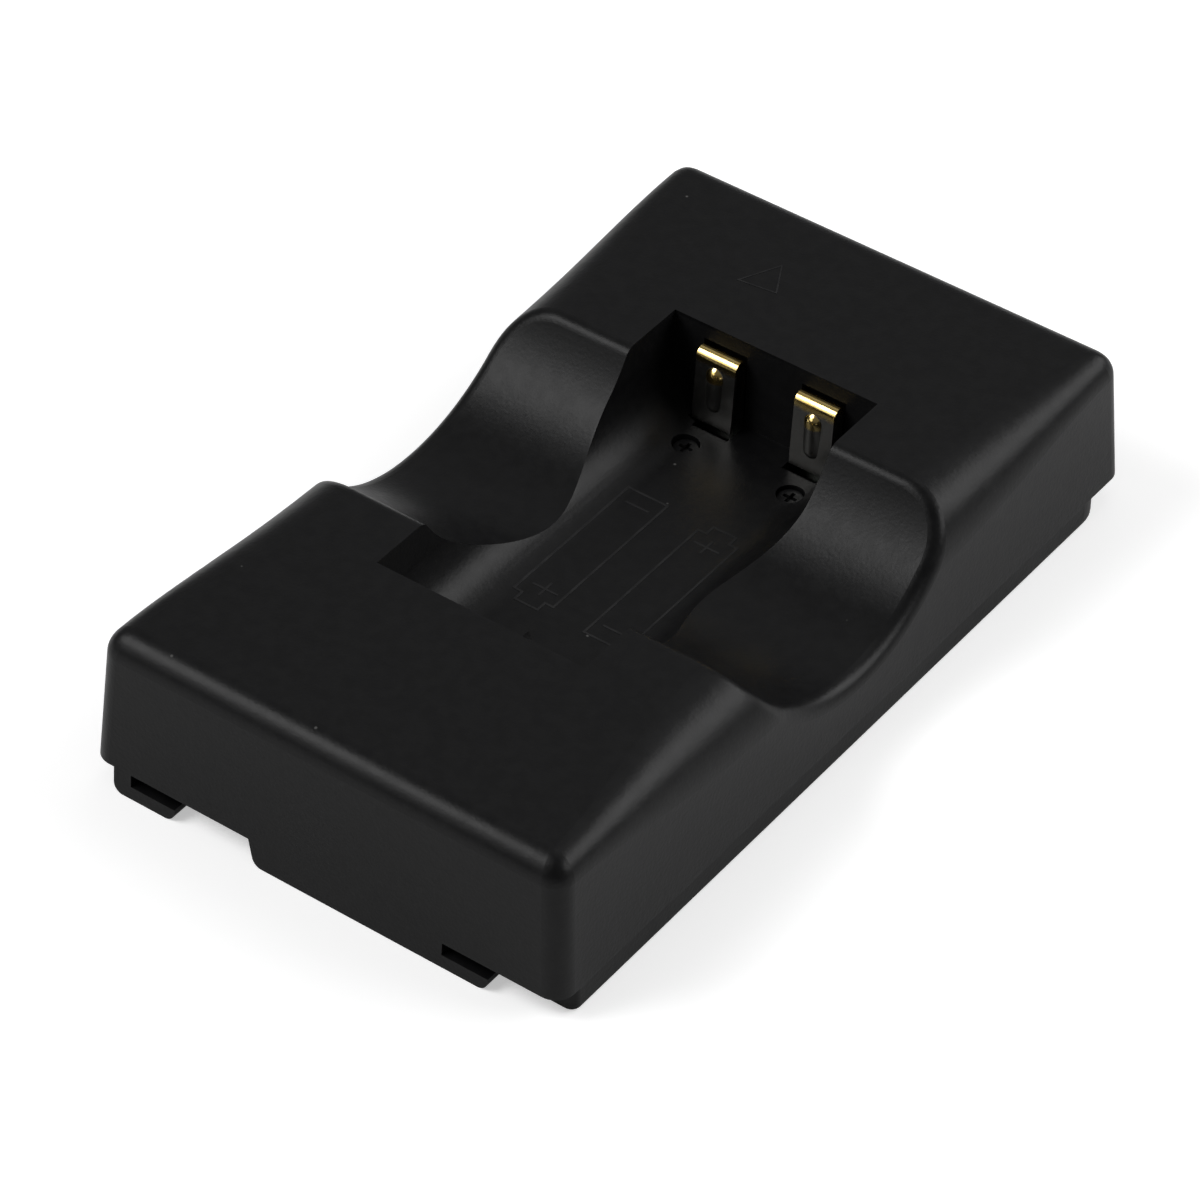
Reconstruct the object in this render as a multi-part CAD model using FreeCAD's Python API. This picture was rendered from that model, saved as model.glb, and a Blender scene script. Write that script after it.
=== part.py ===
import FreeCAD, Part
import math
import os
from FreeCAD import Vector

# The cradle stands on its base: X across, +Y toward the end with two contacts, +Z up.
# The origin is the centre of the base's underside. All lengths are in millimetres.

# Outside of the moulded housing
body_length = 114.4  # at the housing's lower edge
body_width = 66.4
total_height = 22.0
base_step = 3.5  # the base stands this far below the housing's lower edge
wall_draft = 3.7  # degrees
corner_radius = 2.6
edge_radius = 3.3  # top edges at the four corners and across both ends
shoulder_radius = 6.9  # the long top edges grow to this at the shoulders
shoulder_y = 28.0
waist_radius = 8.2  # and to this at mid length
end_wall = 2.4
side_wall = 2.4
roof = 2.2
inner_edge_radius = 5.0

# Bay for two cells that lie side by side
cell_diameter = 14.5
cell_play = 0.2
bay_length = 58.0
bay_shift = 1.0  # the bay's middle lies this far past the housing's middle
floor_height = 9.2  # top of the bay's floor above the base
bay_wall = 2.6
floor_thickness = 2.2
divider_length = 8.6
divider_height = 4.6
divider_reach = 6.4  # half width where its hollow flanks run out into the floor

# Finger scoop, one round cut across the whole housing
scoop_radius = 22.5
scoop_low = 10.1  # lowest line of the scoop above the base
scoop_shift = 0.7
scoop_edge_radius = 1.9

# Contact springs, folded from strip
strip_width = 5.7
strip_thickness = 0.35
contact_spacing = 14.2
far_top = 19.5
far_fold = 2.3  # outside depth of the folded top
near_top = 18.4
near_fold = 4.6  # the near springs stand out further, to press on the cells
leg_end = 10.6
leg_lean = 0.5
bead_radius = 1.5
bead_rise = 0.7
bead_length = 4.1
bead_drop = 2.9  # centre of the bead's upper end below the folded top
contact_gap = 0.3
strip_inset = 0.3  # the upright leg stands this far inside the groove
groove_depth = 1.5
window_gap = 0.5  # between the free leg's end and the floor
window_round = 0.8
tail_length = 0.4  # past the circuit board
holder_rib = 1.0

# Hooks in both end walls: a short foot and a long tongue, each with a slotted lip
lip_thickness = 1.8
lip_length = 6.4
lip_tip_radius = 1.4
foot_left = -29.8
foot_leg = 2.5
foot_corner = 1.3
tongue_left = -10.3
tongue_right = 23.4
tongue_slant = 0.9
tongue_corner = 0.9

# Bottom cover
cover_thickness = 2.0
cover_side_inset = 0.15
cover_near_corner = 1.2
cover_far_corner = 5.6
cover_edge_bevel = 0.4
cover_gap = 0.3
rim_thickness = 1.6
rim_height = 2.0  # above the housing's lower edge
seam_gap = 0.2  # dark line between the cover and the housing's long sides

# Circuit board and the two output plates
board_thickness = 1.2
board_drop = 1.2  # air between the bay's floor and the board
board_width = 38.0
board_length = 18.6
board_overlap = 2.6  # the board reaches this far under the bay
terminal_spacing = 17.0
terminal_past_bay = 10.5
terminal_length = 9.0
terminal_width = 5.0
terminal_margin = 0.9
terminal_thickness = 0.4
riser_width = 3.0

# Screws
bay_screw_spacing = 15.2
bay_screw_inset = 7.0  # from the far end of the bay
bay_head_diameter = 3.1
bay_head_height = 1.1
bay_head_recess = 0.5
bay_shank_diameter = 2.0
bay_shank_length = 4.9
cover_screw_spacing = 46.0
cover_screw_inset = 13.2  # from the near end of the housing
cover_head_diameter = 4.0
cover_head_height = 1.4
cover_head_recess = 0.7
cover_shank_diameter = 2.5
cover_shank_length = 8.0
board_screw_spacing = 30.0
board_screw_past_bay = 6.0
board_head_diameter = 3.6
board_head_height = 1.2
board_shank_diameter = 2.0
board_shank_length = 5.5
boss_wall = 1.7
head_clearance = 0.2
shank_clearance = 0.15
thread_clearance = 0.02
pilot_spare = 0.8
joint_gap = 0.1
cross_width = 0.5
cross_depth = 0.6

# Places that follow from the sizes above
draft_slope = math.tan(math.radians(wall_draft))
bay_width = 2 * cell_diameter + cell_play
bay_near = bay_shift - bay_length / 2
bay_far = bay_shift + bay_length / 2
floor_top = floor_height
floor_bottom = floor_top - floor_thickness
scoop_z = scoop_low + scoop_radius
contact_x = contact_spacing / 2
cover_half_width = body_width / 2 - cover_side_inset
cover_half_length = body_length / 2 - end_wall - cover_gap
board_top = floor_bottom - board_drop
board_bottom = board_top - board_thickness
board_near = bay_far - board_overlap
board_far = board_near + board_length
terminal_y = bay_far + terminal_past_bay
tail_end = board_bottom - tail_length
bar_top = board_top
above = 2 * total_height


def box(x0, x1, y0, y1, z0, z1):
    return Part.makeBox(x1 - x0, y1 - y0, z1 - z0, Vector(x0, y0, z0))


def post(x, y, z0, z1, diameter):
    return Part.makeCylinder(diameter / 2, z1 - z0, Vector(x, y, z0), Vector(0, 0, 1))


def across(y, z, radius, half_width):
    """A cylinder that lies across the cradle."""
    return Part.makeCylinder(radius, 2 * half_width, Vector(-half_width, y, z), Vector(1, 0, 0))


def half_width_at(z):
    return body_width / 2 + (base_step - z) * draft_slope


def half_length_at(z):
    return body_length / 2 + (base_step - z) * draft_slope


def drafted_block(z0, z1, wall_x, wall_y, y_far):
    """Block with flat drafted walls, set in by wall_x and wall_y; y_far cuts it off, or None."""
    rings = []
    for z in (z0, z1):
        x = half_width_at(z) - wall_x
        y = half_length_at(z) - wall_y
        far = y if y_far is None else y_far
        rings.append([Vector(-x, -y, z), Vector(x, -y, z), Vector(x, far, z), Vector(-x, far, z)])
    low, high = rings
    outlines = [low[::-1], high]
    for i in range(4):
        j = (i + 1) % 4
        outlines.append([low[i], low[j], high[j], high[i]])
    shell = Part.Shell([Part.Face(Part.makePolygon(points + [points[0]])) for points in outlines])
    shell.sewShape()
    return Part.Solid(shell)


def upright_corners(shape, y_limit):
    """Edges that run from bottom to top beyond y_limit."""
    edges = []
    for edge in shape.Edges:
        ends = [vertex.Point for vertex in edge.Vertexes]
        if abs(ends[0].z - ends[-1].z) > 1 and min(abs(end.y) for end in ends) > y_limit:
            edges.append(edge)
    return edges


def rounding_at(y):
    """Radius of a long top edge: it grows fast up to the shoulder and slowly from there to mid length."""
    if y > -shoulder_y:
        return waist_radius + y / shoulder_y * (waist_radius - shoulder_radius)
    corner_y = half_length_at(total_height) - corner_radius
    share = (-y - shoulder_y) / (corner_y - shoulder_y)
    return shoulder_radius + share * (edge_radius - shoulder_radius)


def outer_half():
    """Near half of the outer form; its long top edges widen toward mid length."""
    block = drafted_block(0, total_height, 0, 0, 0)
    block = block.makeFillet(corner_radius, upright_corners(block, body_length / 4))
    middle = box(-body_width, body_width, -shoulder_y, 0, -1, above)
    block = block.cut(middle).fuse(block.common(middle))
    radii = []
    for number, edge in enumerate(block.Edges, 1):
        bounds = edge.BoundBox
        on_top = bounds.ZMin > total_height - 0.01
        if not on_top or (bounds.YLength < 0.01 and bounds.YMin > -shoulder_y - 0.01):
            continue
        if bounds.XLength > 0.01:
            radii.append((number, edge_radius, edge_radius))
        else:
            start, end = [rounding_at(vertex.Y) for vertex in (edge.Vertexes[0], edge.Vertexes[-1])]
            radii.append((number, start, end))
    sheet = FreeCAD.newDocument("outer")
    plain = sheet.addObject("Part::Feature", "plain")
    plain.Shape = block
    rounded = sheet.addObject("Part::Fillet", "rounded")
    rounded.Base = plain
    rounded.Edges = radii
    sheet.recompute()
    half = rounded.Shape.copy()
    FreeCAD.closeDocument(sheet.Name)
    return half


def outer_form():
    """Both halves with the scoop cut across them and its rim rounded."""
    near = outer_half()
    far = near.mirror(Vector(0, 0, 0), Vector(0, 1, 0))
    body = near.fuse(far).removeSplitter()
    body = body.cut(across(scoop_shift, scoop_z, scoop_radius, body_width))
    rim = []
    for face in body.Faces:
        if isinstance(face.Surface, Part.Cylinder) and abs(face.Surface.Radius - scoop_radius) < 0.01:
            rim = face.Edges
    return body.makeFillet(scoop_edge_radius, rim)


def hook_outline(left, right, slot_from, slant, corner):
    """Front view of one hook: it hangs from the lower edge and its lip points toward +X."""
    steep = math.atan2(base_step, slant)
    reach = corner * math.tan((math.pi - steep) / 2) if slant else corner
    foot_x = left + slant
    start = Vector(foot_x - reach * math.cos(steep), 0, reach * math.sin(steep))
    middle = Vector(foot_x + 0.3 * corner, 0, 0.3 * corner)
    flat = Vector(foot_x + reach, 0, 0)
    tip = Vector(right - lip_tip_radius, 0, 0)
    tip_middle = Vector(right - 0.3 * lip_tip_radius, 0, 0.3 * lip_tip_radius)
    tip_side = Vector(right, 0, lip_tip_radius)
    tip_top = Vector(right, 0, lip_thickness)
    slot_low = Vector(slot_from, 0, lip_thickness)
    slot_high = Vector(slot_from, 0, base_step + 1)
    top = Vector(left - slant / base_step, 0, base_step + 1)
    edges = [
        Part.makeLine(top, start),
        Part.Arc(start, middle, flat).toShape(),
        Part.makeLine(flat, tip),
        Part.Arc(tip, tip_middle, tip_side).toShape(),
        Part.makeLine(tip_side, tip_top),
        Part.makeLine(tip_top, slot_low),
        Part.makeLine(slot_low, slot_high),
        Part.makeLine(slot_high, top),
    ]
    return Part.Face(Part.Wire(edges))


def hooks():
    """Everything that stays of the end walls below the housing's lower edge."""
    foot = hook_outline(foot_left, foot_left + foot_leg + lip_length, foot_left + foot_leg, 0, foot_corner)
    tongue = hook_outline(tongue_left, tongue_right, tongue_right - lip_length, tongue_slant, tongue_corner)
    kept = []
    for outline in (foot, tongue):
        for side in (-1, 1):
            outside = side * (half_length_at(0) + 1)
            inside = side * (body_length / 2 - end_wall)
            wall = outline.extrude(Vector(0, inside - outside, 0))
            wall.translate(Vector(0, outside, 0))
            kept.append(wall)
    return kept


def bay_cutter():
    trough = box(-bay_width / 2, bay_width / 2, bay_near, bay_far, floor_top, above)
    low_edges = [edge for edge in trough.Edges
                 if edge.BoundBox.ZMax < floor_top + 0.01 and edge.BoundBox.YLength > 1]
    return trough.makeFillet(cell_diameter / 2, low_edges)


def divider():
    """Rib between the cells at the near end; its flanks follow the two cells."""
    rib = box(-divider_reach, divider_reach, bay_near - 0.5, bay_near + divider_length,
              floor_top - 0.5, floor_top + divider_height)
    for side in (-1, 1):
        cell = Part.makeCylinder(cell_diameter / 2, divider_length + 2,
                                 Vector(side * bay_width / 4, bay_near - 1, floor_top + cell_diameter / 2),
                                 Vector(0, 1, 0))
        rib = rib.cut(cell)
    return rib


def contact_places():
    """X, wall, direction into the wall, top and depth of the fold of each upright spring."""
    return [(-contact_x, bay_far, 1, far_top, far_fold), (contact_x, bay_far, 1, far_top, far_fold),
            (-contact_x, bay_near, -1, near_top, near_fold), (contact_x, bay_near, -1, near_top, near_fold)]


def window_reach(fold):
    return fold - strip_inset + leg_lean + window_gap


def contact_window(x, wall_y, side, top, fold):
    """Groove in the end wall and window through the floor that one spring stands in."""
    half = strip_width / 2 + contact_gap
    back = wall_y + side * groove_depth
    front = wall_y - side * window_reach(fold)
    low_y, high_y = sorted((back, wall_y - side))
    groove = box(x - half, x + half, low_y, high_y, floor_bottom - 1, top + contact_gap)
    low_y, high_y = sorted((wall_y, front))
    window = box(x - half, x + half, low_y, high_y, floor_bottom - 1, floor_top + 1)
    return groove.fuse(window)


def window_lip(x, wall_y, side, top, fold):
    """Rounding of the floor's edge at the window."""
    half = strip_width / 2 + contact_gap
    edge_y = wall_y - side * window_reach(fold)
    inner = edge_y - side * window_round
    low_y, high_y = sorted((edge_y, inner))
    corner = box(x - half, x + half, low_y, high_y, floor_top - window_round, floor_top + 0.2)
    drum = Part.makeCylinder(window_round, 2 * half,
                             Vector(x - half, inner, floor_top - window_round), Vector(1, 0, 0))
    return corner.cut(drum)


def pair(spacing, y):
    return [(side * spacing / 2, y) for side in (-1, 1)]


def bay_screw_places():
    return pair(bay_screw_spacing, bay_far - bay_screw_inset)


def cover_screw_places():
    return pair(cover_screw_spacing, cover_screw_inset - body_length / 2)


def board_screw_places():
    return pair(board_screw_spacing, bay_far + board_screw_past_bay)


bay_seat = floor_top - bay_head_recess - bay_head_height
bay_boss_end = bay_seat - 2 * roof / 3
bay_boss_diameter = bay_head_diameter + 2 * boss_wall
cover_seat = cover_head_recess + cover_head_height
cover_boss_end = cover_seat + cover_thickness
cover_boss_diameter = cover_shank_diameter + 2 * boss_wall
board_boss_diameter = board_shank_diameter + 2 * boss_wall


def cavity():
    """Hollow inside the housing, with its bosses left standing."""
    hollow = drafted_block(-1, total_height - roof, side_wall, end_wall, None)
    long_top = [edge for edge in hollow.Edges
                if edge.BoundBox.ZMin > total_height - roof - 0.01 and edge.BoundBox.YLength > 1]
    hollow = hollow.makeFillet(inner_edge_radius, long_top)
    hollow = hollow.cut(across(scoop_shift, scoop_z, scoop_radius + roof, body_width))
    hollow = hollow.cut(box(-bay_width / 2 - bay_wall, bay_width / 2 + bay_wall,
                            bay_near - bay_wall, bay_far + bay_wall, floor_bottom, above))
    for x, y in bay_screw_places():
        hollow = hollow.cut(post(x, y, bay_boss_end, floor_top, bay_boss_diameter))
    for x, y in cover_screw_places():
        hollow = hollow.cut(post(x, y, cover_boss_end + joint_gap, total_height, cover_boss_diameter))
    for x, y in board_screw_places():
        hollow = hollow.cut(post(x, y, board_top, total_height, board_boss_diameter))
    return hollow


def screw_holes_in_housing():
    holes = []
    for x, y in bay_screw_places():
        holes.append(post(x, y, bay_seat, above, bay_head_diameter + 2 * head_clearance))
        holes.append(post(x, y, 0, above, bay_shank_diameter + 2 * shank_clearance))
    for x, y in cover_screw_places():
        pilot_end = cover_seat + cover_shank_length + pilot_spare
        holes.append(post(x, y, 0, pilot_end, cover_shank_diameter + 2 * thread_clearance))
    for x, y in board_screw_places():
        pilot_end = board_bottom + board_shank_length + pilot_spare
        holes.append(post(x, y, 0, pilot_end, board_shank_diameter + 2 * thread_clearance))
    return holes


def top_housing():
    shell = outer_form()
    edge_slab = box(-body_width, body_width, -body_length, body_length, -1, base_step)
    edge_slab = edge_slab.cut(hooks())
    shell = shell.cut([edge_slab, cavity(), bay_cutter()])
    shell = shell.fuse(divider())
    cuts = []
    for place in contact_places():
        cuts.append(contact_window(*place))
        cuts.append(window_lip(*place))
    shell = shell.cut(cuts + screw_holes_in_housing())
    return shell.removeSplitter()


def cover_slab(half_x, half_y, z0, z1, far_corner):
    """Slab of the cover's outline: its near corners are crisp, its far ones round."""
    slab = box(-half_x, half_x, -half_y, half_y, z0, z1)
    corners = upright_corners(slab, half_y / 2)
    slab = slab.makeFillet(far_corner, [edge for edge in corners if edge.BoundBox.YMin > 0])
    corners = upright_corners(slab, half_y / 2)
    return slab.makeFillet(cover_near_corner, [edge for edge in corners if edge.BoundBox.YMax < 0])


def terminal_places():
    return [side * terminal_spacing / 2 for side in (-1, 1)]


def bottom_cover():
    tray = cover_slab(cover_half_width, cover_half_length, 0, base_step - seam_gap, cover_far_corner)
    low_edges = [edge for edge in tray.Edges if edge.BoundBox.ZMax < 0.01]
    tray = tray.makeChamfer(cover_edge_bevel, low_edges)
    rim_half_width = body_width / 2 - side_wall - cover_gap
    rim_top = base_step + rim_height
    rim = cover_slab(rim_half_width, cover_half_length, cover_thickness / 2, rim_top, cover_far_corner)
    pocket = cover_slab(rim_half_width - rim_thickness, cover_half_length - rim_thickness,
                        cover_thickness, above, cover_far_corner - rim_thickness)
    cover = tray.fuse(rim).cut(pocket)
    solids = []
    for x, y in bay_screw_places():
        solids.append(post(x, y, cover_thickness / 2, bay_boss_end - joint_gap, bay_boss_diameter))
    for x, y in cover_screw_places():
        solids.append(post(x, y, cover_thickness / 2, cover_boss_end,
                           cover_head_diameter + 2 * boss_wall))
    solids += bridge_holder()
    cover = cover.fuse(solids)
    holes = []
    for x, y in bay_screw_places():
        pilot_end = bay_seat - bay_shank_length - pilot_spare / 2
        holes.append(post(x, y, pilot_end, above, bay_shank_diameter + 2 * thread_clearance))
    for x, y in cover_screw_places():
        holes.append(post(x, y, -1, cover_seat, cover_head_diameter + 2 * head_clearance))
        holes.append(post(x, y, 0, above, cover_shank_diameter + 2 * shank_clearance))
    for x in terminal_places():
        holes.append(box(x - terminal_length / 2, x + terminal_length / 2,
                         terminal_y - terminal_width / 2, terminal_y + terminal_width / 2,
                         -1, cover_thickness + 1))
    return cover.cut(holes).removeSplitter()


def strip_back(wall_y, side):
    """Y of the upright leg's back face."""
    return wall_y + side * strip_inset


def bridge_holder():
    """Two low ribs on the cover that keep the bridge's bar between them."""
    back = strip_back(bay_near, -1)
    gap = contact_gap
    half = contact_x
    front = back + strip_thickness
    low = box(-half, half, back - gap - holder_rib, back - gap, cover_thickness / 2, bar_top)
    high = box(-half, half, front + gap, front + gap + holder_rib, cover_thickness / 2, bar_top)
    return [low, high]


def folded_leg(x, wall_y, side, top, fold):
    """One spring: upright leg, folded top and free leg with its bead, in the wall's frame."""
    outer = fold / 2
    inner = outer - strip_thickness
    back = 0
    fold_y = back + outer
    fold_z = top - outer
    front = back + fold
    lean = leg_lean
    outline = [
        Part.makeLine(Vector(0, back, tail_end), Vector(0, back, fold_z)),
        Part.Arc(Vector(0, back, fold_z), Vector(0, fold_y, top),
                 Vector(0, front, fold_z)).toShape(),
        Part.makeLine(Vector(0, front, fold_z), Vector(0, front + lean, leg_end)),
        Part.makeLine(Vector(0, front + lean, leg_end),
                      Vector(0, front + lean - strip_thickness, leg_end)),
        Part.makeLine(Vector(0, front + lean - strip_thickness, leg_end),
                      Vector(0, fold_y + inner, fold_z)),
        Part.Arc(Vector(0, fold_y + inner, fold_z), Vector(0, fold_y, fold_z + inner),
                 Vector(0, fold_y - inner, fold_z)).toShape(),
        Part.makeLine(Vector(0, fold_y - inner, fold_z), Vector(0, strip_thickness, tail_end)),
        Part.makeLine(Vector(0, strip_thickness, tail_end), Vector(0, back, tail_end)),
    ]
    leg = Part.Face(Part.Wire(outline)).extrude(Vector(strip_width, 0, 0))
    leg.translate(Vector(-strip_width / 2, 0, 0))
    bead_top = top - bead_drop
    bead_y = front + lean * (fold_z - bead_top) / (fold_z - leg_end) - bead_radius + bead_rise
    keep = box(-bead_radius, bead_radius, front - strip_thickness / 2, front + 2 * bead_radius,
               0, above)
    leg = leg.fuse(bead(bead_y, bead_top).common(keep)).removeSplitter()
    if side > 0:
        leg = leg.mirror(Vector(0, 0, 0), Vector(0, 1, 0))
    leg.translate(Vector(x, strip_back(wall_y, side), 0))
    return leg


def bead(y, top):
    """Long round-ended bead that stands out of the free leg."""
    low = top - bead_length
    rod = Part.makeCylinder(bead_radius, bead_length, Vector(0, y, low), Vector(0, 0, 1))
    ends = [Part.makeSphere(bead_radius, Vector(0, y, z)) for z in (top, low)]
    return rod.fuse(ends)


def bridge_contact():
    """One strip that joins both cells at the near end: two springs on a bar under the floor."""
    legs = [folded_leg(*place) for place in contact_places() if place[2] < 0]
    back = strip_back(bay_near, -1)
    reach = contact_x + strip_width / 2
    bar = box(-reach, reach, back, back + strip_thickness, cover_thickness + contact_gap, bar_top)
    return legs[0].fuse([legs[1], bar]).removeSplitter()


def circuit_board():
    board = box(-board_width / 2, board_width / 2, board_near, board_far, board_bottom, board_top)
    holes = []
    back = strip_back(bay_far, 1)
    gap = contact_gap
    for x, wall_y, side, top, fold in contact_places():
        if side > 0:
            holes.append(box(x - strip_width / 2 - gap, x + strip_width / 2 + gap,
                             back - strip_thickness - gap, back + gap, 0, above))
    for x, y in board_screw_places():
        holes.append(post(x, y, 0, above, board_shank_diameter + 2 * shank_clearance))
    for x in terminal_places():
        holes.append(riser_box(x, joint_gap / 2, 0, above))
    return board.cut(holes)


def riser_box(x, gap, z0, z1):
    y = terminal_y - terminal_width / 2 - terminal_margin
    half = riser_width / 2 + gap
    return box(x - half, x + half, y - gap, y + terminal_thickness + gap, z0, z1)


def output_terminal(x):
    """Plate over one window of the cover, with a riser up through the board."""
    plate = box(x - terminal_length / 2 - terminal_margin, x + terminal_length / 2 + terminal_margin,
                terminal_y - terminal_width / 2 - terminal_margin,
                terminal_y + terminal_width / 2 + terminal_margin,
                cover_thickness, cover_thickness + terminal_thickness)
    return plate.fuse(riser_box(x, 0, cover_thickness, board_top + 0.6)).removeSplitter()


def screw(x, y, seat, direction, head, head_height, shank, shank_length):
    """Flat-topped screw with a cross recess; direction +1 points the shank up."""
    shank_low, shank_high = sorted((seat, seat + direction * shank_length))
    head_low, head_high = sorted((seat, seat - direction * head_height))
    body = post(x, y, head_low, head_high, head).fuse(post(x, y, shank_low, shank_high, shank))
    crown = seat - direction * head_height
    low, high = sorted((crown - direction, crown + direction * cross_depth))
    arm = head * 0.3
    half = cross_width / 2
    recess = [box(x - arm, x + arm, y - half, y + half, low, high),
              box(x - half, x + half, y - arm, y + arm, low, high)]
    return body.cut(recess)


def screw_group(places, seat, direction, head, head_height, shank, shank_length):
    return Part.makeCompound([
        screw(x, y, seat, direction, head, head_height, shank, shank_length) for x, y in places
    ])


def build():
    left, right = terminal_places()
    far_legs = [place for place in contact_places() if place[2] > 0]
    return {
        "top_housing": top_housing(),
        "bottom_cover": bottom_cover(),
        "negative_contact": folded_leg(*far_legs[0]),
        "positive_contact": folded_leg(*far_legs[1]),
        "bridge_contact": bridge_contact(),
        "circuit_board": circuit_board(),
        "negative_terminal": output_terminal(left),
        "positive_terminal": output_terminal(right),
        "bay_screws": screw_group(bay_screw_places(), bay_seat, -1, bay_head_diameter, bay_head_height,
                                  bay_shank_diameter, bay_shank_length),
        "cover_screws": screw_group(cover_screw_places(), cover_seat, 1, cover_head_diameter,
                                    cover_head_height, cover_shank_diameter, cover_shank_length),
        "board_screws": screw_group(board_screw_places(), board_bottom, 1, board_head_diameter,
                                    board_head_height, board_shank_diameter, board_shank_length),
    }


os.makedirs("parts", exist_ok=True)
for node, shape in build().items():
    shape.exportStep(f"parts/{node}.step")
    bounds = shape.BoundBox
    corners = (bounds.XMin, bounds.XMax, bounds.YMin, bounds.YMax, bounds.ZMin, bounds.ZMax)
    print(node, "solids", len(shape.Solids), "valid", shape.isValid(), "volume", round(shape.Volume, 1),
          [round(value, 2) for value in corners])
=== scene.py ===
import math
import bpy
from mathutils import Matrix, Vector


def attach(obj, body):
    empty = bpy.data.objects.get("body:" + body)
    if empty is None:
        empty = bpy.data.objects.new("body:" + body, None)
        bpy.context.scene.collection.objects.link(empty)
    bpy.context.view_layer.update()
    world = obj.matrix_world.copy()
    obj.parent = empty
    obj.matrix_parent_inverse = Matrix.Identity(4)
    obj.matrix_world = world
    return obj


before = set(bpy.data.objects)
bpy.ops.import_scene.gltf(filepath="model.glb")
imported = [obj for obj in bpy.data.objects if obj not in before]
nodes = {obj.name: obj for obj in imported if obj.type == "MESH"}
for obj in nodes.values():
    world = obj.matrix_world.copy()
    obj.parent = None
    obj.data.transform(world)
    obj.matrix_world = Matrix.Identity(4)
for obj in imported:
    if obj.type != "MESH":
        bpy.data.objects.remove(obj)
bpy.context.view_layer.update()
print("frame loaded with", len(nodes), "nodes")


# small helpers

def deselectAll():
    if bpy.context.object and bpy.context.object.mode != "OBJECT":
        bpy.ops.object.mode_set(mode="OBJECT")
    bpy.ops.object.select_all(action="DESELECT")


def feedSocket(tree, socket, value):
    # a number or colour is set on the socket, and another node's output is linked to it
    if isinstance(value, (int, float, tuple)):
        socket.default_value = value
    else:
        tree.links.new(value, socket)


def mathNode(tree, operation, first, second=None, clamp=False):
    node = tree.nodes.new("ShaderNodeMath")
    node.operation = operation
    node.use_clamp = clamp
    feedSocket(tree, node.inputs[0], first)
    if second is not None:
        feedSocket(tree, node.inputs[1], second)
    return node.outputs[0]


def allOf(tree, mask, *others):
    for other in others:
        mask = mathNode(tree, "MULTIPLY", mask, other)
    return mask


def rangeNode(tree, value, fromLow, fromHigh, toLow=0.0, toHigh=1.0, steps="SMOOTHSTEP"):
    node = tree.nodes.new("ShaderNodeMapRange")
    node.interpolation_type = steps
    limits = {"From Min": fromLow, "From Max": fromHigh, "To Min": toLow, "To Max": toHigh}
    for label, number in limits.items():
        feedSocket(tree, node.inputs[label], number)
    tree.links.new(value, node.inputs["Value"])
    return node.outputs["Result"]


# camera and studio

cameraView = {
    "place": (0.283284, -0.405548, 0.441061),
    "turn": (48.5596, -1.0747, 36.2003),    # degrees
    "lens": 168.94,
    "sensor": 36,
    "clip": (0.01, 20),
}

studio = {
    "floorSize": 4.0,
    "floorColour": (0.84, 0.84, 0.84, 1),
    "floorRough": 0.7,
    "floorGloss": 0.1,
    "floorLift": 0.45,              # brings the pale floor to white where nothing shades it
    "mirroredShare": 0.2,           # how much of that lift glossy surfaces mirror
    "skyLight": 0.2,
    "sweepTop": (-0.06, 0.08),      # where the white sweep fades into the ceiling, by rise
    "ceilingNear": 0.10,            # the ceiling as glossy surfaces mirror it, darker on the camera's side
    "ceilingFar": 0.34,
    "ceilingDepth": (-0.3, 0.5),
    "ceilingRise": (0.15, 0.55),    # and darker where it meets the sweep
    "ceilingFoot": 0.35,
    "lamps": [
        {"name": "frontLeftBox", "place": (-0.475, -0.43, 0.69), "size": (0.5, 0.44), "power": 4.6},
        {"name": "lowFrontBox", "place": (-0.42, -0.74, 0.40), "size": (0.5, 0.34), "power": 0.65},
        {"name": "backRightBox", "place": (0.61, 0.61, 0.56), "size": (1.1, 0.5), "power": 7.2},
        {"name": "overheadBox", "place": (-0.1, 0.5, 1.1), "size": (0.5, 0.5), "power": 0.6},
    ],
}


def makeCamera():
    deselectAll()
    turn = [math.radians(angle) for angle in cameraView["turn"]]
    bpy.ops.object.camera_add(location=cameraView["place"], rotation=turn)
    camera = bpy.context.object
    camera.name = "photoCamera"
    camera.data.lens = cameraView["lens"]
    camera.data.sensor_width = cameraView["sensor"]
    camera.data.clip_start, camera.data.clip_end = cameraView["clip"]
    bpy.context.scene.camera = camera


def makeLamps():
    for lamp in studio["lamps"]:
        deselectAll()
        place = Vector(lamp["place"])
        bpy.ops.object.light_add(type="AREA", location=place)
        light = bpy.context.object
        light.name = lamp["name"]
        light.rotation_euler = (-place).to_track_quat("-Z", "Y").to_euler()
        light.data.shape = "RECTANGLE"
        light.data.size, light.data.size_y = lamp["size"]
        light.data.energy = lamp["power"]


def rayMask(tree, mirrored=1.0):
    # camera, mirror and glass rays see the white studio, soft rays only the plain sky light
    path = tree.nodes.new("ShaderNodeLightPath")
    bounced = mathNode(tree, "MAXIMUM", path.outputs["Is Glossy Ray"], path.outputs["Is Transmission Ray"])
    bounced = mathNode(tree, "MULTIPLY", bounced, mirrored)
    return mathNode(tree, "MAXIMUM", path.outputs["Is Camera Ray"], bounced)


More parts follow.
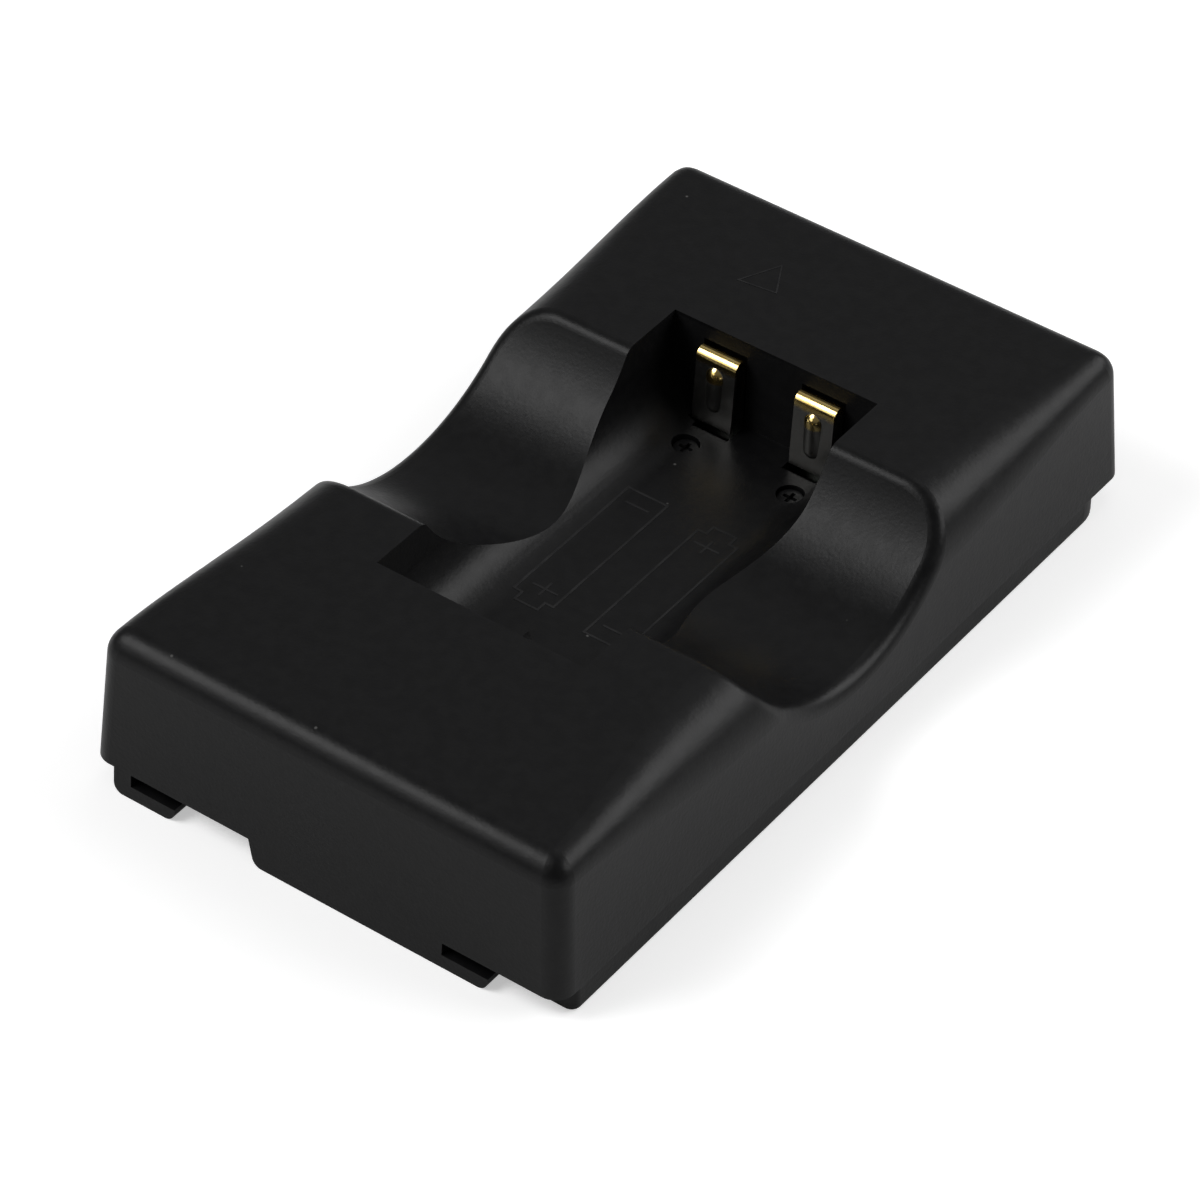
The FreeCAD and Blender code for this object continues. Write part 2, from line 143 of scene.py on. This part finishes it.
def makeWorld():
    world = bpy.data.worlds.new("paleStudio")
    bpy.context.scene.world = world
    world.use_nodes = True
    tree = world.node_tree
    tree.nodes.clear()
    out = tree.nodes.new("ShaderNodeOutputWorld")
    sky = tree.nodes.new("ShaderNodeBackground")
    sky.inputs["Color"].default_value = (1, 1, 1, 1)
    sky.inputs["Strength"].default_value = studio["skyLight"]
    seen = tree.nodes.new("ShaderNodeBackground")
    seen.inputs["Color"].default_value = (1, 1, 1, 1)
    direction = tree.nodes.new("ShaderNodeTexCoord")    # white sweep all round, grey ceiling above
    split = tree.nodes.new("ShaderNodeSeparateXYZ")
    tree.links.new(direction.outputs["Generated"], split.inputs[0])
    depth, rise = split.outputs["Y"], split.outputs["Z"]
    ceiling = rangeNode(tree, depth, *studio["ceilingDepth"], studio["ceilingNear"], studio["ceilingFar"])
    higher = rangeNode(tree, rise, *studio["ceilingRise"], studio["ceilingFoot"], steps="LINEAR")
    level = mathNode(tree, "MULTIPLY", ceiling, higher)
    tree.links.new(rangeNode(tree, rise, *studio["sweepTop"], 1.0, level), seen.inputs["Strength"])
    mix = tree.nodes.new("ShaderNodeMixShader")
    tree.links.new(rayMask(tree), mix.inputs[0])
    tree.links.new(sky.outputs[0], mix.inputs[1])
    tree.links.new(seen.outputs[0], mix.inputs[2])
    tree.links.new(mix.outputs[0], out.inputs[0])


def makeFloor():
    deselectAll()
    bpy.ops.mesh.primitive_plane_add(size=studio["floorSize"], location=(0, 0, 0))
    floor = bpy.context.object
    floor.name = "floor"
    paint = bpy.data.materials.new("paleFloor")
    paint.use_nodes = True
    tree = paint.node_tree
    shader = tree.nodes["Principled BSDF"]
    shader.inputs["Base Color"].default_value = studio["floorColour"]
    shader.inputs["Roughness"].default_value = studio["floorRough"]
    shader.inputs["Specular IOR Level"].default_value = studio["floorGloss"]
    shader.inputs["Emission Color"].default_value = (1, 1, 1, 1)
    lift = mathNode(tree, "MULTIPLY", rayMask(tree, studio["mirroredShare"]), studio["floorLift"])
    tree.links.new(lift, shader.inputs["Emission Strength"])
    floor.data.materials.append(paint)


makeCamera()
makeLamps()
makeWorld()
makeFloor()
bpy.context.scene.view_settings.view_transform = "Standard"
print("studio ready")


# shared surface effects

def newGroup(name, inputs, outputs):
    group = bpy.data.node_groups.new(name, "ShaderNodeTree")
    for label, kind, value in inputs:
        socket = group.interface.new_socket(name=label, in_out="INPUT", socket_type=kind)
        if value is not None:
            socket.default_value = value
    for label, kind in outputs:
        group.interface.new_socket(name=label, in_out="OUTPUT", socket_type=kind)
    enter = group.nodes.new("NodeGroupInput")
    leave = group.nodes.new("NodeGroupOutput")
    return group, enter, leave


def noiseNode(tree, place, scale, detail, roughness):
    node = tree.nodes.new("ShaderNodeTexNoise")
    tree.links.new(place, node.inputs["Vector"])
    feedSocket(tree, node.inputs["Scale"], scale)
    node.inputs["Detail"].default_value = detail
    node.inputs["Roughness"].default_value = roughness
    return node.outputs["Fac"]


grainShape = {
    "fineDetail": 3.0,
    "fineRough": 0.6,
    "pitScale": 0.7,            # pits are larger than the fine grain, and half as deep
    "pitDepth": 0.5,
    "patchDetail": 4.0,
    "patchRough": 0.55,
    "patchRange": (0.3, 0.7),
}


def makeMouldGrain():
    # fine eroded texture of a moulding, with slow patches of slightly different gloss
    group, enter, leave = newGroup("mouldGrain", [
        ("Vector", "NodeSocketVector", None),
        ("Grain Scale", "NodeSocketFloat", 3200.0),
        ("Patch Scale", "NodeSocketFloat", 45.0),
    ], [("Height", "NodeSocketFloat"), ("Patch", "NodeSocketFloat")])
    fine = noiseNode(group, enter.outputs["Vector"], enter.outputs["Grain Scale"],
                     grainShape["fineDetail"], grainShape["fineRough"])
    cells = group.nodes.new("ShaderNodeTexVoronoi")
    group.links.new(enter.outputs["Vector"], cells.inputs["Vector"])
    pitScale = mathNode(group, "MULTIPLY", enter.outputs["Grain Scale"], grainShape["pitScale"])
    group.links.new(pitScale, cells.inputs["Scale"])
    pits = mathNode(group, "MULTIPLY", cells.outputs["Distance"], grainShape["pitDepth"])
    height = mathNode(group, "ADD", fine, pits)
    group.links.new(height, leave.inputs["Height"])
    patch = noiseNode(group, enter.outputs["Vector"], enter.outputs["Patch Scale"],
                      grainShape["patchDetail"], grainShape["patchRough"])
    group.links.new(rangeNode(group, patch, *grainShape["patchRange"]), leave.inputs["Patch"])
    return group


rubShape = {
    "samples": 4,
    "radius": 0.0006,
    "bend": (0.995, 0.93),      # how far the softened normal has to turn
    "detail": 5.0,
    "rough": 0.65,
    "breakup": (0.42, 0.62),
}


def makeEdgeRub():
    # bright where fingers and tables rub the outer edges
    group, enter, leave = newGroup("edgeRub", [
        ("Vector", "NodeSocketVector", None),
        ("Breakup Scale", "NodeSocketFloat", 260.0),
    ], [("Mask", "NodeSocketFloat")])
    soft = group.nodes.new("ShaderNodeBevel")
    soft.samples = rubShape["samples"]
    soft.inputs["Radius"].default_value = rubShape["radius"]
    shape = group.nodes.new("ShaderNodeNewGeometry")
    dot = group.nodes.new("ShaderNodeVectorMath")
    dot.operation = "DOT_PRODUCT"
    group.links.new(soft.outputs["Normal"], dot.inputs[0])
    group.links.new(shape.outputs["Normal"], dot.inputs[1])
    bend = rangeNode(group, dot.outputs["Value"], *rubShape["bend"])
    ragged = noiseNode(group, enter.outputs["Vector"], enter.outputs["Breakup Scale"],
                       rubShape["detail"], rubShape["rough"])
    broken = rangeNode(group, ragged, *rubShape["breakup"])
    group.links.new(mathNode(group, "MULTIPLY", bend, broken), leave.inputs["Mask"])
    return group


dustShape = {
    "speck": (0.07, 0.03),      # fades out from the middle of a cell
    "facingUp": (0.3, 0.8),
}


def makeSettledDust():
    # sparse pale specks on the faces that look up
    group, enter, leave = newGroup("settledDust", [
        ("Vector", "NodeSocketVector", None),
        ("Speck Scale", "NodeSocketFloat", 240.0),
        ("Share", "NodeSocketFloat", 0.03),
    ], [("Mask", "NodeSocketFloat")])
    cells = group.nodes.new("ShaderNodeTexVoronoi")
    group.links.new(enter.outputs["Vector"], cells.inputs["Vector"])
    group.links.new(enter.outputs["Speck Scale"], cells.inputs["Scale"])
    near = rangeNode(group, cells.outputs["Distance"], *dustShape["speck"])
    parts = group.nodes.new("ShaderNodeSeparateColor")
    group.links.new(cells.outputs["Color"], parts.inputs[0])
    chosen = mathNode(group, "LESS_THAN", parts.outputs[0], enter.outputs["Share"])
    shape = group.nodes.new("ShaderNodeNewGeometry")
    split = group.nodes.new("ShaderNodeSeparateXYZ")
    group.links.new(shape.outputs["Normal"], split.inputs[0])
    up = rangeNode(group, split.outputs["Z"], *dustShape["facingUp"])
    group.links.new(allOf(group, near, chosen, up), leave.inputs["Mask"])
    return group


rolledShape = {
    "stretch": (6, 1, 0.25),
    "lineDetail": 3.0,
    "lineRough": 0.6,
    "blotchScale": 420.0,
    "blotchDetail": 4.0,
    "blotchRough": 0.6,
    "blotchRange": (0.4, 0.7),
}


def makeRolledMetal():
    # fine lines along one axis, and dull blotches
    group, enter, leave = newGroup("rolledMetal", [
        ("Vector", "NodeSocketVector", None),
        ("Line Scale", "NodeSocketFloat", 900.0),
    ], [("Lines", "NodeSocketFloat"), ("Blotch", "NodeSocketFloat")])
    stretch = group.nodes.new("ShaderNodeMapping")
    stretch.inputs["Scale"].default_value = rolledShape["stretch"]
    group.links.new(enter.outputs["Vector"], stretch.inputs["Vector"])
    lines = noiseNode(group, stretch.outputs["Vector"], enter.outputs["Line Scale"],
                      rolledShape["lineDetail"], rolledShape["lineRough"])
    group.links.new(lines, leave.inputs["Lines"])
    blotch = noiseNode(group, enter.outputs["Vector"], rolledShape["blotchScale"],
                       rolledShape["blotchDetail"], rolledShape["blotchRough"])
    group.links.new(rangeNode(group, blotch, *rolledShape["blotchRange"]), leave.inputs["Blotch"])
    return group


mouldGrain = makeMouldGrain()
edgeRub = makeEdgeRub()
settledDust = makeSettledDust()
rolledMetal = makeRolledMetal()
print("surface effects ready")


# the object's own finishes

finishing = {
    "rubPolish": 0.08,          # rubbed edges are this much smoother
    "dustRough": 0.4,           # and specks of dust this much rougher
    "grainDepth": 0.00004,
    "lineDepth": 0.00003,
    "platedWave": 0.0003,       # how far the edge of the gold wanders
    "plainGloss": 0.5,
}


def startMaterial(name):
    material = bpy.data.materials.new(name)
    material.use_nodes = True
    tree = material.node_tree
    shader = tree.nodes["Principled BSDF"]
    place = tree.nodes.new("ShaderNodeTexCoord").outputs["Object"]
    return material, tree, shader, place


def useGroup(tree, group, place, **values):
    node = tree.nodes.new("ShaderNodeGroup")
    node.node_tree = group
    tree.links.new(place, node.inputs["Vector"])
    for label, value in values.items():
        node.inputs[label.replace("_", " ")].default_value = value
    return node


def blendColour(tree, share, first, second):
    node = tree.nodes.new("ShaderNodeMix")
    node.data_type = "RGBA"
    feedSocket(tree, node.inputs[6], first)    # 6 and 7 are the two colours
    feedSocket(tree, node.inputs[7], second)
    tree.links.new(share, node.inputs[0])
    return node.outputs[2]


def addBump(tree, shader, height, strength, distance):
    bump = tree.nodes.new("ShaderNodeBump")
    bump.inputs["Strength"].default_value = strength
    bump.inputs["Distance"].default_value = distance
    tree.links.new(height, bump.inputs["Height"])
    tree.links.new(bump.outputs["Normal"], shader.inputs["Normal"])


def plasticMaterial(name, look):
    material, tree, shader, place = startMaterial(name)
    grain = useGroup(tree, mouldGrain, place, Grain_Scale=look["grainScale"], Patch_Scale=look["patchScale"])
    rub = useGroup(tree, edgeRub, place, Breakup_Scale=look["rubScale"])
    dust = useGroup(tree, settledDust, place, Speck_Scale=look["dustScale"], Share=look["dustShare"])
    base = blendColour(tree, grain.outputs["Patch"], look["dark"], look["light"])
    rubbed = mathNode(tree, "MULTIPLY", rub.outputs["Mask"], look["rubAmount"])
    base = blendColour(tree, rubbed, base, look["rubbed"])
    dusted = mathNode(tree, "MULTIPLY", dust.outputs["Mask"], look["dustAmount"])
    base = blendColour(tree, dusted, base, look["dust"])
    tree.links.new(base, shader.inputs["Base Color"])
    rough = rangeNode(tree, grain.outputs["Patch"], 0, 1, look["roughLow"], look["roughHigh"])
    polish = mathNode(tree, "MULTIPLY", rub.outputs["Mask"], finishing["rubPolish"])
    rough = mathNode(tree, "SUBTRACT", rough, polish)
    dusty = mathNode(tree, "MULTIPLY", dust.outputs["Mask"], finishing["dustRough"])
    rough = mathNode(tree, "ADD", rough, dusty, clamp=True)
    if "dullWall" in look:    # the bay's far wall has no polish, unlike the outside
        dull = look["dullWall"]
        split = tree.nodes.new("ShaderNodeSeparateXYZ")
        tree.links.new(place, split.inputs[0])
        across = mathNode(tree, "ABSOLUTE", split.outputs["X"])
        wall = allOf(tree, rangeNode(tree, split.outputs["Y"], *dull["front"]),
                     rangeNode(tree, split.outputs["Z"], *dull["top"]),
                     rangeNode(tree, across, *dull["sides"]),
                     rangeNode(tree, split.outputs["Y"], *dull["back"]))
        rough = mathNode(tree, "ADD", rough, mathNode(tree, "MULTIPLY", wall, dull["rougher"]), clamp=True)
    tree.links.new(rough, shader.inputs["Roughness"])
    shader.inputs["Specular IOR Level"].default_value = look["gloss"]
    addBump(tree, shader, grain.outputs["Height"], look["bump"], finishing["grainDepth"])
    return material


def metalMaterial(name, look):
    material, tree, shader, place = startMaterial(name)
    metal = useGroup(tree, rolledMetal, place, Line_Scale=look["lineScale"])
    base = blendColour(tree, metal.outputs["Blotch"], look["bright"], look["dull"])
    rough = rangeNode(tree, metal.outputs["Blotch"], 0, 1, look["roughLow"], look["roughHigh"])
    if "platedAbove" in look:    # gold on the fold and the dimple's cap, bare nickel on the legs below
        split = tree.nodes.new("ShaderNodeSeparateXYZ")
        tree.links.new(place, split.inputs[0])
        wavy = mathNode(tree, "MULTIPLY", metal.outputs["Blotch"], finishing["platedWave"])
        height = mathNode(tree, "ADD", split.outputs["Z"], wavy)
        plated = rangeNode(tree, height, *look["platedAbove"])
        lean = mathNode(tree, "MULTIPLY", split.outputs["Z"], look["legLean"])
        ahead = mathNode(tree, "SUBTRACT", split.outputs["Y"], lean)
        cap = allOf(tree, rangeNode(tree, ahead, *look["capFront"]),
                    rangeNode(tree, split.outputs["Z"], *look["capAbove"]))
        plated = mathNode(tree, "MAXIMUM", plated, cap)
        base = blendColour(tree, plated, look["nickel"], base)
        bare = mathNode(tree, "SUBTRACT", 1.0, plated)
        rough = mathNode(tree, "ADD", rough, mathNode(tree, "MULTIPLY", bare, look["bareRougher"]))
    tree.links.new(base, shader.inputs["Base Color"])
    tree.links.new(rough, shader.inputs["Roughness"])
    shader.inputs["Metallic"].default_value = look["metallic"]
    shader.inputs["Specular IOR Level"].default_value = look.get("gloss", finishing["plainGloss"])
    addBump(tree, shader, metal.outputs["Lines"], look["bump"], finishing["lineDepth"])
    return material


def boardMaterial(name, look):
    material, tree, shader, place = startMaterial(name)
    grain = useGroup(tree, mouldGrain, place, Grain_Scale=look["grainScale"], Patch_Scale=look["patchScale"])
    tracks = tree.nodes.new("ShaderNodeTexBrick")
    tree.links.new(place, tracks.inputs["Vector"])
    for label, value in look["tracks"].items():
        tracks.inputs[label].default_value = value
    base = blendColour(tree, tracks.outputs["Fac"], look["mask"], look["track"])
    shaded = mathNode(tree, "MULTIPLY", grain.outputs["Patch"], look["shadeAmount"])
    base = blendColour(tree, shaded, base, look["shade"])
    tree.links.new(base, shader.inputs["Base Color"])
    rough = rangeNode(tree, grain.outputs["Patch"], 0, 1, look["roughLow"], look["roughHigh"])
    tree.links.new(rough, shader.inputs["Roughness"])
    addBump(tree, shader, tracks.outputs["Fac"], look["bump"], finishing["lineDepth"])
    return material


housingPlastic = plasticMaterial("housingPlastic", {
    "dark": (0.0040, 0.0040, 0.0043, 1), "light": (0.0056, 0.0056, 0.0059, 1),
    "rubbed": (0.014, 0.014, 0.015, 1), "dust": (0.55, 0.55, 0.53, 1),
    "grainScale": 2600.0, "patchScale": 620.0, "rubScale": 240.0,
    "rubAmount": 0.35, "dustScale": 300.0, "dustShare": 0.12, "dustAmount": 0.13,
    "roughLow": 0.35, "roughHigh": 0.385, "gloss": 0.17, "bump": 0.4,
    "dullWall": {
        "front": (0.0296, 0.0299), "back": (0.0304, 0.0301),
        "top": (0.0217, 0.0214), "sides": (0.0155, 0.0150), "rougher": 0.22,
    },
})
coverPlastic = plasticMaterial("coverPlastic", {
    "dark": (0.004, 0.004, 0.0043, 1), "light": (0.0065, 0.0065, 0.0068, 1),
    "rubbed": (0.018, 0.018, 0.018, 1), "dust": (0.5, 0.5, 0.48, 1),
    "grainScale": 2600.0, "patchScale": 30.0, "rubScale": 200.0,
    "rubAmount": 0.5, "dustScale": 200.0, "dustShare": 0.06, "dustAmount": 0.15,
    "roughLow": 0.42, "roughHigh": 0.5, "gloss": 0.14, "bump": 0.4,
})
# the lines' colour is two to three times lighter than the housing's: a painted highlight standing in for the
# light the raised lines catch
lineSheenPlastic = plasticMaterial("lineSheenPlastic", {
    "dark": (0.010, 0.010, 0.0104, 1), "light": (0.018, 0.018, 0.0184, 1),
    "rubbed": (0.022, 0.022, 0.022, 1), "dust": (0.55, 0.55, 0.53, 1),
    "grainScale": 3400.0, "patchScale": 420.0, "rubScale": 400.0,
    "rubAmount": 0.3, "dustScale": 300.0, "dustShare": 0.01, "dustAmount": 0.15,
    "roughLow": 0.45, "roughHigh": 0.6, "gloss": 0.16, "bump": 0.1,
})
springPlate = {
    "bright": (0.97, 0.74, 0.29, 1), "dull": (0.86, 0.58, 0.17, 1), "lineScale": 1100.0,
    "roughLow": 0.15, "roughHigh": 0.22, "metallic": 1.0, "bump": 0.015,
    "nickel": (0.33, 0.325, 0.31, 1), "bareRougher": 0.14,
}
goldPlate = metalMaterial("goldPlate", {
    **springPlate, "platedAbove": (0.0177, 0.0185),
    "legLean": 0.0645, "capFront": (0.02679, 0.02671), "capAbove": (0.0159, 0.0163),
})
nearPlate = metalMaterial("nearPlate", {
    **springPlate, "platedAbove": (0.0155, 0.0163),
    "legLean": -0.0909, "capFront": (-0.02221, -0.02213), "capAbove": (0.0148, 0.0152),
})
terminalMetal = metalMaterial("terminalMetal", {
    "bright": (0.84, 0.64, 0.30, 1), "dull": (0.6, 0.42, 0.18, 1), "lineScale": 700.0,
    "roughLow": 0.24, "roughHigh": 0.38, "metallic": 1.0, "bump": 0.3,
})
zincSteel = metalMaterial("zincSteel", {
    "bright": (0.62, 0.62, 0.63, 1), "dull": (0.45, 0.45, 0.46, 1), "lineScale": 600.0,
    "roughLow": 0.3, "roughHigh": 0.45, "metallic": 1.0, "bump": 0.25,
})
blackOxide = metalMaterial("blackOxide", {
    "bright": (0.009, 0.009, 0.0095, 1), "dull": (0.004, 0.004, 0.0045, 1), "lineScale": 600.0,
    "roughLow": 0.3, "roughHigh": 0.42, "metallic": 0.0, "gloss": 0.14, "bump": 0.3,
})
greenBoard = boardMaterial("greenBoard", {
    "mask": (0.005, 0.022, 0.010, 1), "track": (0.009, 0.035, 0.016, 1), "shade": (0.003, 0.012, 0.006, 1),
    "grainScale": 900.0, "patchScale": 160.0, "shadeAmount": 0.3,
    "roughLow": 0.25, "roughHigh": 0.4, "bump": 0.4,
    "tracks": {"Scale": 260.0, "Mortar Size": 0.09, "Brick Width": 1.6, "Row Height": 0.5},
})

finishes = {
    "top_housing": housingPlastic,
    "bottom_cover": coverPlastic,
    "negative_contact": goldPlate,
    "positive_contact": goldPlate,
    "bridge_contact": nearPlate,
    "circuit_board": greenBoard,
    "negative_terminal": terminalMetal,
    "positive_terminal": terminalMetal,
    "bay_screws": blackOxide,
    "cover_screws": blackOxide,
    "board_screws": zincSteel,
}
for name, material in finishes.items():
    piece = nodes[name]
    if not piece.material_slots:
        piece.data.materials.append(material)
    for materialSlot in piece.material_slots:
        materialSlot.material = material
print("finishes placed on", len(finishes), "nodes")


# raised guide lines on the bay's floor and on the top

guideLines = {
    "floorLevel": 0.0092,
    "topLevel": 0.022,
    "rise": 0.00005,
    "sink": 0.0001,
    "width": 0.0003,
    "arrowWidth": 0.0002,
    "softEdge": 0.000025,
    "touching": 1e-6,           # an edge this close to a line counts as on it
    "endZone": 0.0001,
    "channelRadius": 0.00725,   # the floor curves up beyond channelX, and the lines follow it
    "channelX": 0.00735,
    "cellWidth": 0.00597,
    "cellLength": 0.02298,
    "noseWidth": 0.00357,
    "noseLength": 0.00147,
    "leftCell": (-0.005505, 0.00105),
    "turnedAbout": (0.0, 0.0004),
    "plusReach": (0.0018, 0.0013),
    "plusPlace": (-0.0053, -0.0083),
    "minusLength": 0.0034,
    "minusPlace": (-0.00545, 0.0101),
    "arrow": [(-0.01209, 0.03913), (-0.00931, 0.04493), (-0.00665, 0.03984)],
}


def editPiece(name):
    piece = bpy.context.object
    piece.name = name
    bpy.ops.object.mode_set(mode="EDIT")
    bpy.ops.mesh.select_all(action="SELECT")
    return piece


def selectEdges(piece, test):
    bpy.ops.object.mode_set(mode="OBJECT")
    mesh = piece.data
    for part in (mesh.vertices, mesh.edges, mesh.polygons):
        part.foreach_set("select", [False] * len(part))
    for edge in mesh.edges:
        middle = (mesh.vertices[edge.vertices[0]].co + mesh.vertices[edge.vertices[1]].co) / 2
        edge.select = test(middle)
    bpy.ops.object.mode_set(mode="EDIT")
    bpy.ops.mesh.select_mode(type="EDGE")


def easeEdges(piece, width):
    ease = piece.modifiers.new("ease", "BEVEL")
    ease.width = width
    ease.segments = 2
    ease.limit_method = "ANGLE"
    bpy.ops.object.modifier_apply(modifier="ease")


def raiseLines(piece, rim=None):
    # turns a flat sheet into thin raised lines: a rim of this width, or the whole sheet
    bpy.ops.mesh.select_mode(type="FACE")
    bpy.ops.mesh.select_all(action="SELECT")
    if rim:
        bpy.ops.mesh.inset(thickness=rim, use_boundary=True, use_even_offset=True)
        bpy.ops.mesh.delete(type="FACE")
        bpy.ops.mesh.select_all(action="SELECT")
    lift = guideLines["rise"] + guideLines["sink"]
    bpy.ops.mesh.extrude_region_move(TRANSFORM_OT_translate={"value": (0, 0, lift)})
    bpy.ops.mesh.select_all(action="SELECT")
    bpy.ops.mesh.normals_make_consistent(inside=False)
    bpy.ops.object.mode_set(mode="OBJECT")
    easeEdges(piece, guideLines["softEdge"])


def settlePiece(piece, body, material):
    bpy.ops.object.transform_apply(location=True, rotation=True, scale=True)
    piece.data.materials.clear()
    piece.data.materials.append(material)
    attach(piece, body)


def followChannel(piece):
    radius = guideLines["channelRadius"]
    for vertex in piece.data.vertices:
        beyond = abs(vertex.co.x) - guideLines["channelX"]
        if beyond > 0:
            vertex.co.z += radius - math.sqrt(radius ** 2 - beyond ** 2)


def turnedPlace(place):    # half a turn about the middle between the two cells
    middleX, middleY = guideLines["turnedAbout"]
    return (2 * middleX - place[0], 2 * middleY - place[1])


def makeCellOutline(name, turned):
    deselectAll()
    half = guideLines["cellWidth"] / 2
    bpy.ops.mesh.primitive_plane_add(size=1, location=(0, 0, 0))
    piece = editPiece(name)
    bpy.ops.transform.resize(value=(guideLines["cellWidth"], guideLines["cellLength"], 1))
    nose = guideLines["noseWidth"] / 2
    curved = guideLines["channelX"] + guideLines["leftCell"][0]
    # cuts beside the nose, where the floor starts to curve, and half way out from there
    for cut in (-nose, nose, -curved, -(curved + half) / 2):
        bpy.ops.mesh.select_all(action="SELECT")
        bpy.ops.mesh.bisect(plane_co=(cut, 0, 0), plane_no=(1, 0, 0))
    end = -guideLines["cellLength"] / 2
    endZone = guideLines["endZone"]
    selectEdges(piece, lambda middle: abs(middle.x) < nose / 2 and abs(middle.y - end) < endZone)
    bpy.ops.mesh.extrude_region_move(TRANSFORM_OT_translate={"value": (0, -guideLines["noseLength"], 0)})
    raiseLines(piece, guideLines["width"])
    place = guideLines["leftCell"]
    if turned:
        piece.rotation_euler = (0, 0, math.pi)
        place = turnedPlace(place)
    piece.location = (place[0], place[1], guideLines["floorLevel"] - guideLines["sink"])
    settlePiece(piece, "cradle", lineSheenPlastic)
    followChannel(piece)


def growArm(piece, axis, side, reach):
    # one arm of a sign, drawn out from the middle square's edge on this side
    halfWidth = guideLines["width"] / 2
    touching = guideLines["touching"]
    selectEdges(piece, lambda middle: abs(middle[axis] - side * halfWidth) < touching
                and abs(middle[1 - axis]) < halfWidth / 2)
    step = [0, 0, 0]
    step[axis] = side * (reach - halfWidth)
    bpy.ops.mesh.extrude_region_move(TRANSFORM_OT_translate={"value": tuple(step)})


def makeSign(name, place, plus):
    deselectAll()
    reachX = guideLines["plusReach"][0] if plus else guideLines["minusLength"] / 2
    bpy.ops.mesh.primitive_plane_add(size=guideLines["width"], location=(0, 0, 0))
    piece = editPiece(name)
    for side in (-1, 1):
        growArm(piece, 0, side, reachX)
        if plus:
            growArm(piece, 1, side, guideLines["plusReach"][1])
    raiseLines(piece)
    piece.location = (place[0], place[1], guideLines["floorLevel"] - guideLines["sink"])
    settlePiece(piece, "cradle", lineSheenPlastic)


def makeArrow():
    deselectAll()
    bpy.ops.mesh.primitive_circle_add(vertices=3, fill_type="NGON", location=(0, 0, 0))
    piece = editPiece("direction_arrow")
    bpy.ops.object.mode_set(mode="OBJECT")
    for vertex, corner in zip(piece.data.vertices, guideLines["arrow"]):
        vertex.co = (corner[0], corner[1], 0)
    bpy.ops.object.mode_set(mode="EDIT")
    raiseLines(piece, guideLines["arrowWidth"])
    piece.location = (0, 0, guideLines["topLevel"] - guideLines["sink"])
    settlePiece(piece, "cradle", lineSheenPlastic)


makeCellOutline("left_cell_outline", False)
makeCellOutline("right_cell_outline", True)
makeSign("left_plus", guideLines["plusPlace"], True)
makeSign("left_minus", guideLines["minusPlace"], False)
makeSign("right_plus", turnedPlace(guideLines["plusPlace"]), True)
makeSign("right_minus", turnedPlace(guideLines["minusPlace"]), False)
makeArrow()
print("guide lines raised")


# the free legs' tips, which reach down to the windows in the bay's floor

legTips = {
    "legEnd": 0.0106,      # where the strip's own leg ends
    "tipEnd": 0.0094,
    "overlap": 0.0004,
    "width": 0.00568,
    "thickness": 0.00033,
    "softEdge": 0.00006,
    "farLegs": [
        ("negative_leg_tip", -0.0071, "negative_spring"),
        ("positive_leg_tip", 0.0071, "positive_spring"),
    ],
    "farMiddleY": 0.027675,
    "farLean": math.radians(3.69),
    "nearLegs": [
        ("bridge_left_tip", -0.0071, "bridge_spring"),
        ("bridge_right_tip", 0.0071, "bridge_spring"),
    ],
    "nearMiddleY": -0.023375,
    "nearLean": math.radians(-5.19),
}


def makeLegTip(name, x, body, middleY, lean, material):
    deselectAll()
    top = legTips["legEnd"] + legTips["overlap"]
    length = top - legTips["tipEnd"]
    bpy.ops.mesh.primitive_cube_add(size=1, location=(0, 0, 0))
    piece = editPiece(name)
    bpy.ops.transform.resize(value=(legTips["width"], legTips["thickness"], length))
    bpy.ops.transform.translate(value=(0, 0, legTips["overlap"] - length / 2))
    bpy.ops.object.mode_set(mode="OBJECT")
    easeEdges(piece, legTips["softEdge"])
    piece.rotation_euler = (-lean, 0, 0)
    piece.location = (x, middleY, legTips["legEnd"])
    settlePiece(piece, body, material)


for name, x, body in legTips["farLegs"]:
    makeLegTip(name, x, body, legTips["farMiddleY"], legTips["farLean"], goldPlate)
for name, x, body in legTips["nearLegs"]:
    makeLegTip(name, x, body, legTips["nearMiddleY"], legTips["nearLean"], nearPlate)
print("leg tips placed")
